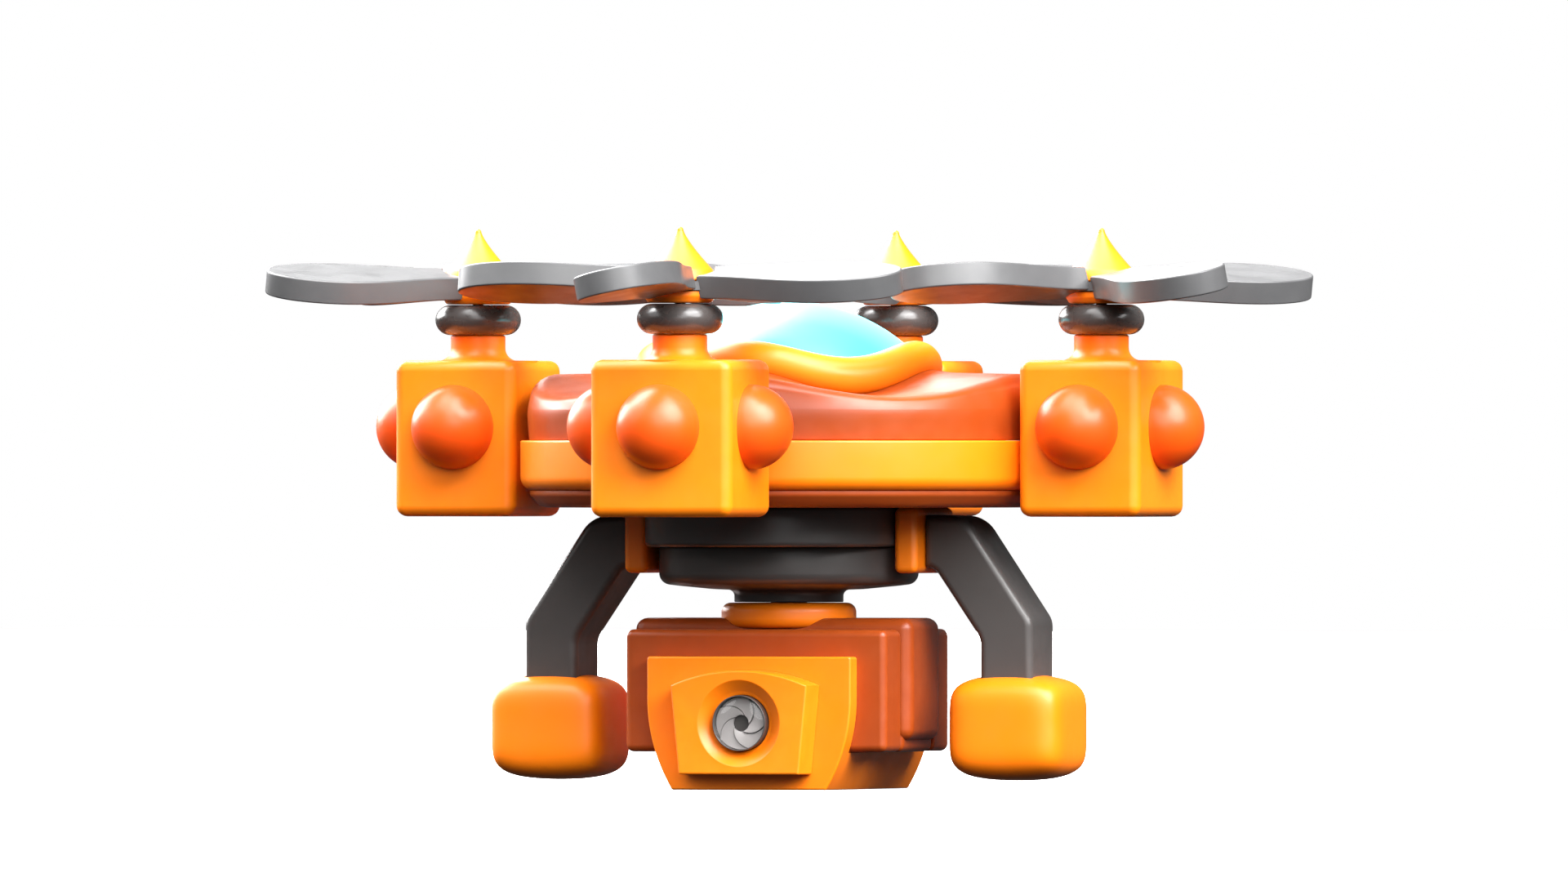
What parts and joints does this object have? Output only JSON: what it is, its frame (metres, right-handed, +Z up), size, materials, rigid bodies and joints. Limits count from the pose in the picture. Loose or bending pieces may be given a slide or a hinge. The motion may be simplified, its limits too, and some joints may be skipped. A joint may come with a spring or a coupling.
{
  "type": "quadcopter drone",
  "caption": "Quadcopter with rotor pods in a plus layout, round hull with a domed canopy, side legs, and a camera that pans under the hull.",
  "frame": {"origin": "on the centre line of the rotor pattern, level with the flat underside of the camera cradle, which is the lowest face", "axes": "+Z up, -Y forward (the way the lens looks), +X to the drone's own left-hand side"},
  "size_m": [0.2774, 0.3082, 0.1538],
  "materials": {
    "yellow_plastic": "satin",
    "orange_plastic": "satin",
    "spinner_plastic": "gloss",
    "terracotta_plastic": "satin",
    "brown_plastic": "satin",
    "dark_plastic": "satin",
    "grey_plastic": "satin",
    "black_rubber": "polished",
    "cyan_gloss": "gloss",
    "lens_glass": "polished",
    "steel": "satin",
    "circuit_green": "matte",
    "battery_wrap": "satin"
  },
  "bodies": {
    "frame": {"hull_upper_shell": "terracotta_plastic", "main_frame": "yellow_plastic", "hull_lower_shell": "brown_plastic", "canopy_rim": "yellow_plastic", "canopy_dome": "cyan_gloss", "battery_pack": "battery_wrap", "flight_controller": "circuit_green", "gimbal_mount_plate": "dark_plastic", "gimbal_housing": "dark_plastic", "leg_bracket_left": "yellow_plastic", "leg_left": "dark_plastic", "foot_left": "yellow_plastic", "leg_bracket_right": "yellow_plastic", "leg_right": "dark_plastic", "foot_right": "yellow_plastic", "pod_housing_front": "yellow_plastic", "motor_front": "steel", "bearing_seal_front": "black_rubber", "bumper_front_outer": "orange_plastic", "bumper_front_side_a": "orange_plastic", "bumper_front_side_b": "orange_plastic", "pod_housing_left": "yellow_plastic", "motor_left": "steel", "bearing_seal_left": "black_rubber", "bumper_left_outer": "orange_plastic", "bumper_left_side_a": "orange_plastic", "bumper_left_side_b": "orange_plastic", "pod_housing_back": "yellow_plastic", "motor_back": "steel", "bearing_seal_back": "black_rubber", "bumper_back_outer": "orange_plastic", "bumper_back_side_a": "orange_plastic", "bumper_back_side_b": "orange_plastic", "pod_housing_right": "yellow_plastic", "motor_right": "steel", "bearing_seal_right": "black_rubber", "bumper_right_outer": "orange_plastic", "bumper_right_side_a": "orange_plastic", "bumper_right_side_b": "orange_plastic"},
    "rotor_front": {"motor_shaft_front": "yellow_plastic", "propeller_front": "grey_plastic", "spinner_front": "spinner_plastic"},
    "rotor_left": {"motor_shaft_left": "yellow_plastic", "propeller_left": "grey_plastic", "spinner_left": "spinner_plastic"},
    "rotor_back": {"motor_shaft_back": "yellow_plastic", "propeller_back": "grey_plastic", "spinner_back": "spinner_plastic"},
    "rotor_right": {"motor_shaft_right": "yellow_plastic", "propeller_right": "grey_plastic", "spinner_right": "spinner_plastic"},
    "camera": {"camera_collar": "yellow_plastic", "camera_front_bezel": "terracotta_plastic", "camera_housing": "terracotta_plastic", "camera_back_cover": "terracotta_plastic", "camera_cradle": "yellow_plastic", "camera_faceplate": "yellow_plastic", "lens_barrel": "dark_plastic", "lens_iris": "steel", "lens_glass": "lens_glass"}
  },
  "joints": [
    {"name": "rotor_spin_front", "type": "hinge", "parent": "frame", "child": "rotor_front", "pos_m": [0, -0.0906, 0.1388], "axis": [0, 0, 1], "continuous": true},
    {"name": "rotor_spin_left", "type": "hinge", "parent": "frame", "child": "rotor_left", "pos_m": [0.0906, 0, 0.1388], "axis": [0, 0, 1], "continuous": true},
    {"name": "rotor_spin_back", "type": "hinge", "parent": "frame", "child": "rotor_back", "pos_m": [0, 0.0906, 0.1388], "axis": [0, 0, -1], "continuous": true},
    {"name": "rotor_spin_right", "type": "hinge", "parent": "frame", "child": "rotor_right", "pos_m": [-0.0906, 0, 0.1388], "axis": [0, 0, -1], "continuous": true},
    {"name": "camera_pan", "type": "hinge", "parent": "frame", "child": "camera", "pos_m": [0, 0, 0.0512], "axis": [0, 0, 1], "range_deg": [-90, 90]}
  ]
}
